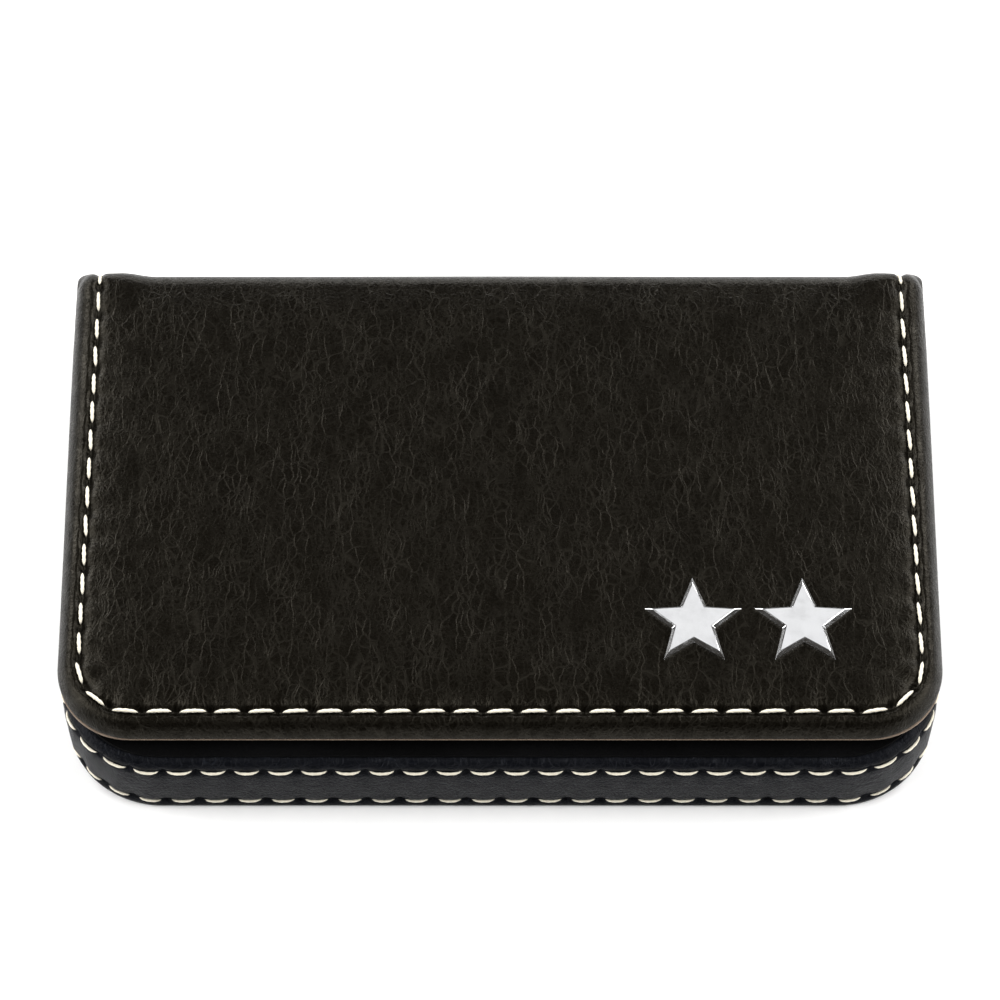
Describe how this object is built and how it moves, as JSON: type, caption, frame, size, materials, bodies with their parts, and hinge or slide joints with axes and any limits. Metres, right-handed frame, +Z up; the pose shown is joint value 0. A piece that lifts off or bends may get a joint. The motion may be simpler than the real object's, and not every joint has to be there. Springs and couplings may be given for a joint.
{
  "type": "business card case",
  "caption": "Hinged leather business card case: a padded, stitched lid on a folding spine closes over a flocked tray for cards.",
  "frame": {"origin": "centre of the closed case, on the surface that it lies on", "axes": "+X along the case's width, to the right seen from the front; +Y from the front edge to the spine; +Z up through the lid"},
  "size_m": [0.0984, 0.0633, 0.0159],
  "materials": {
    "cover_leather": "black, soft, fine lengthwise creases, low sheen",
    "band_leather": "black smooth calf with a satin sheen, gathered between stitches",
    "thread": "cream waxed two-ply thread",
    "greyboard": "raw bookbinder's board",
    "frame_plastic": "moulded, matt",
    "tray_flock": "thin moulded tray with black flocking",
    "lining_cloth": "short-napped black lining",
    "lining_leather": "undyed tan split, raw cut edge",
    "magnet_steel": "nickel plated",
    "pad_foam": "thin soft foam sheet",
    "emblem_chrome": "polished"
  },
  "bodies": {
    "base": {"base_cover": "cover_leather", "base_board": "greyboard", "wall_frame": "frame_plastic", "side_band": "band_leather", "upper_wall_stitching": "thread", "lower_wall_stitching": "thread", "card_tray": "tray_flock", "tray_floor_cloth": "lining_cloth", "base_magnets": "magnet_steel"},
    "spine": {"spine_cover": "cover_leather", "spine_board": "greyboard", "spine_lining": "lining_cloth", "spine_stitching": "thread"},
    "lid": {"lid_cover": "cover_leather", "lid_pad": "pad_foam", "lid_board": "greyboard", "lid_keepers": "magnet_steel", "lid_lining": "lining_leather", "lid_panel": "greyboard", "lid_panel_cloth": "lining_cloth", "lid_stitching": "thread", "emblem_left": "emblem_chrome", "emblem_right": "emblem_chrome"}
  },
  "joints": [
    {"name": "spine_fold", "type": "hinge", "parent": "base", "child": "spine", "pos_m": [0, 0.03105, 0.00032], "axis": [-1, 0, 0], "range_deg": [0, 90]},
    {"name": "lid_fold", "type": "hinge", "parent": "spine", "child": "lid", "pos_m": [0, 0.03073, 0.01436], "axis": [-1, 0, 0], "range_deg": [0, 90]}
  ]
}
